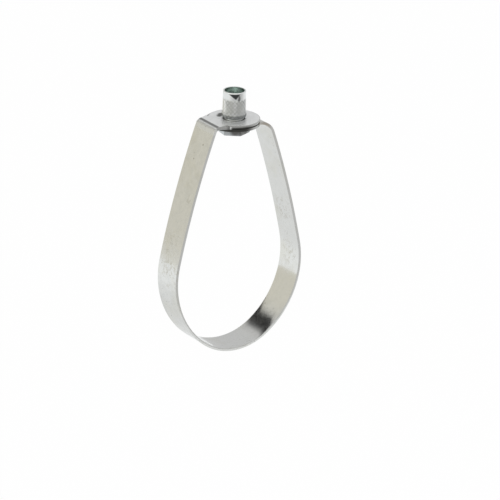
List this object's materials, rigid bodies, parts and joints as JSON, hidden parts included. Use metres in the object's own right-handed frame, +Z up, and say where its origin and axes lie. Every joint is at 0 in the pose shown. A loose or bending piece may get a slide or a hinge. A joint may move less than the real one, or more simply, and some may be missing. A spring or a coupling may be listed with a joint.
{
  "type": "swivel ring hanger",
  "caption": "Swivel ring hanger: a flat steel strap bent into a pear-shaped loop for a pipe, hung on a knurled tubular nut that screws onto a threaded rod.",
  "frame": {"origin": "centre of the nut's mouth, in the plane of its rim", "axes": "+Z up along the threaded rod, X across the loop's width, Y along the pipe; the strap end on the -X side lies on top"},
  "size_m": [0.0818, 0.0284, 0.1479],
  "materials": {
    "galvanised_strap": "bright galvanised sheet, satin, with faint mottling",
    "zinc_plated_nut": "zinc plated, smooth collar and flange, knurled barrel"
  },
  "bodies": {
    "nut": {"swivel_nut": "zinc_plated_nut"},
    "ring": {"ring_band": "galvanised_strap"}
  },
  "joints": [
    {"name": "ring_swivel", "type": "hinge", "parent": "nut", "child": "ring", "pos_m": [0, 0, -0.01735], "axis": [0, 0, 1], "continuous": true}
  ]
}
